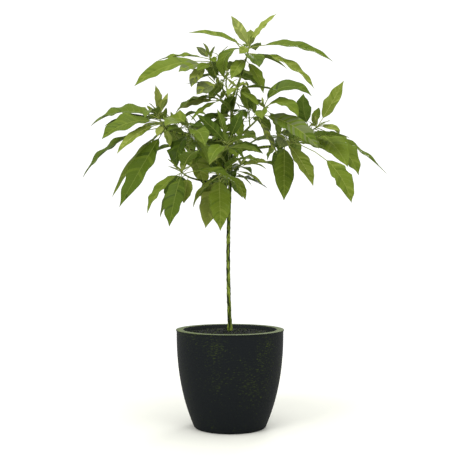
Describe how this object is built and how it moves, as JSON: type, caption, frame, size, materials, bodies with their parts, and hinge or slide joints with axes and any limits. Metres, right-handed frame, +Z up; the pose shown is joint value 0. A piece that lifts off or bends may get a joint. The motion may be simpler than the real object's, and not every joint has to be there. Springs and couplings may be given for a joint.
{
  "type": "potted avocado tree",
  "caption": "Young avocado tree with one slim upright stem and an open crown of arching pointed leaves, in a round tapering planter filled with soil.",
  "frame": {"origin": "centre of the planter's flat underside, which stands on the floor", "axes": "+Z up along the stem; +X to the right and -Y towards the viewer of the picture; the object has no front of its own"},
  "size_m": [0.8523, 0.6614, 1.1643],
  "materials": {
    "planter": "matte anthracite with fine horizontal brushed ribs",
    "soil": "dark crumbly potting soil",
    "bark": "smooth green young bark with leaf scars",
    "foliage": "satin green leaves with pale midribs"
  },
  "bodies": {
    "root": {"pot": "planter", "soil": "soil", "trunk": "bark", "leader_right": "bark", "leader_left": "bark", "leader_back": "bark", "leader_front": "bark", "bough_left_upper": "bark", "bough_left_lower": "bark", "bough_left_bottom": "bark", "bough_right_upper": "bark", "bough_right_lower": "bark", "bough_right_outer": "bark", "bough_front": "bark", "bough_back_left": "bark", "bough_back_right": "bark", "bough_back": "bark", "foliage_top_right": "foliage", "foliage_top_left": "foliage", "foliage_upper_left": "foliage", "foliage_top_back": "foliage", "foliage_top_front": "foliage", "foliage_fork_left": "foliage", "foliage_left_far": "foliage", "foliage_left_inner": "foliage", "foliage_left_mid": "foliage", "foliage_left_low": "foliage", "foliage_low_left": "foliage", "foliage_low_right": "foliage", "foliage_right_upper": "foliage", "foliage_right_inner": "foliage", "foliage_right_mid": "foliage", "foliage_right_far": "foliage", "foliage_centre_front": "foliage", "foliage_crown_front": "foliage", "foliage_front": "foliage", "foliage_back_left": "foliage", "foliage_back_right": "foliage", "foliage_back": "foliage", "foliage_back_low": "foliage"}
  },
  "joints": []
}
